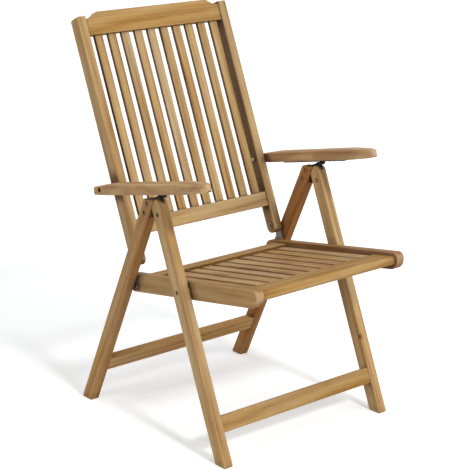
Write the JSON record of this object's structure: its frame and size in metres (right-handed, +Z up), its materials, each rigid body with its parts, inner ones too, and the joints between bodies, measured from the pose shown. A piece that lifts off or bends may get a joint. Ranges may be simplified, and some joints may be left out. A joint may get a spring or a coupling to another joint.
{
  "type": "high-back garden chair",
  "caption": "Folding high-back garden chair in slatted teak with flat arms on notched racks, splayed leg frames, a reclining back and steel hinge plates.",
  "frame": {"origin": "on the floor under the middle of the bounding box at rest", "axes": "+Z up, -Y the way the sitter faces, +X the sitter's left"},
  "size_m": [0.6232, 0.7686, 1.0843],
  "materials": {
    "teak": "sanded, oiled matt",
    "black_steel": "black satin coat",
    "zinc_steel": "dull zinc grey",
    "fastener_steel": "dark plated"
  },
  "bodies": {
    "front_legs": {"front_leg_left": "teak", "front_leg_right": "teak", "front_stretcher": "teak", "apex_pivot_bolts": "fastener_steel", "seat_pivot_bolts": "fastener_steel"},
    "rear_legs": {"rear_leg_left": "teak", "rear_leg_right": "teak", "rear_stretcher": "teak", "apex_plate_left": "black_steel", "apex_plate_right": "black_steel", "plate_bolts": "fastener_steel", "seat_studs": "fastener_steel"},
    "seat": {"seat_rail_left": "teak", "seat_rail_right": "teak", "seat_front_rail": "teak", "seat_rear_rail": "teak", "seat_slat_01": "teak", "seat_slat_02": "teak", "seat_slat_03": "teak", "seat_slat_04": "teak", "seat_slat_05": "teak", "seat_slat_06": "teak", "seat_slat_07": "teak", "seat_slat_08": "teak", "seat_slat_09": "teak", "seat_slat_10": "teak", "hinge_strap_left": "zinc_steel", "hinge_strap_right": "zinc_steel", "strap_screws": "fastener_steel", "seat_spacers": "fastener_steel"},
    "back_pivots": {"back_pivot_bolts": "fastener_steel"},
    "back": {"back_stile_left": "teak", "back_stile_right": "teak", "back_top_rail": "teak", "back_lower_rail": "teak", "back_slat_01": "teak", "back_slat_02": "teak", "back_slat_03": "teak", "back_slat_04": "teak", "back_slat_05": "teak", "back_slat_06": "teak", "back_slat_07": "teak", "back_slat_08": "teak", "back_slat_09": "teak", "back_slat_10": "teak"},
    "left_arm_pivot": {"arm_bolt_left": "fastener_steel"},
    "left_arm": {"arm_left": "teak", "arm_rack_left": "black_steel", "rack_screws_left": "fastener_steel", "arm_washer_left": "fastener_steel"},
    "right_arm_pivot": {"arm_bolt_right": "fastener_steel"},
    "right_arm": {"arm_right": "teak", "arm_rack_right": "black_steel", "rack_screws_right": "fastener_steel", "arm_washer_right": "fastener_steel"}
  },
  "joints": [
    {"name": "fold", "type": "hinge", "parent": "front_legs", "child": "seat", "pos_m": [0, -0.1125, 0.42482], "axis": [1, 0, 0], "range_deg": [0, 75]},
    {"name": "rear_leg_fold", "type": "hinge", "parent": "front_legs", "child": "rear_legs", "pos_m": [0, -0.03507, 0.6155], "axis": [-1, 0, 0], "range_deg": [0, 45]},
    {"name": "back_fold", "type": "hinge", "parent": "seat", "child": "back_pivots", "pos_m": [0, 0.11954, 0.45643], "axis": [-1, 0, 0], "range_deg": [0, 75]},
    {"name": "recline", "type": "hinge", "parent": "back_pivots", "child": "back", "pos_m": [0, 0.11954, 0.45643], "axis": [-1, 0, 0], "range_deg": [0, 24]},
    {"name": "left_arm_follow", "type": "hinge", "parent": "back", "child": "left_arm_pivot", "pos_m": [0.2866, 0.19429, 0.6387], "axis": [1, 0, 0], "range_deg": [0, 19]},
    {"name": "left_arm_lift", "type": "hinge", "parent": "left_arm_pivot", "child": "left_arm", "pos_m": [0.2866, 0.19429, 0.6387], "axis": [-1, 0, 0], "range_deg": [0, 100]},
    {"name": "right_arm_follow", "type": "hinge", "parent": "back", "child": "right_arm_pivot", "pos_m": [-0.2866, 0.19429, 0.6387], "axis": [1, 0, 0], "range_deg": [0, 19]},
    {"name": "right_arm_lift", "type": "hinge", "parent": "right_arm_pivot", "child": "right_arm", "pos_m": [-0.2866, 0.19429, 0.6387], "axis": [-1, 0, 0], "range_deg": [0, 100]}
  ],
  "couplings": [
    {"joint": "rear_leg_fold", "follows": "fold", "ratio": 0.6},
    {"joint": "back_fold", "follows": "fold", "ratio": 1},
    {"joint": "left_arm_follow", "follows": "recline", "ratio": 0.7548},
    {"joint": "right_arm_follow", "follows": "recline", "ratio": 0.7548}
  ]
}
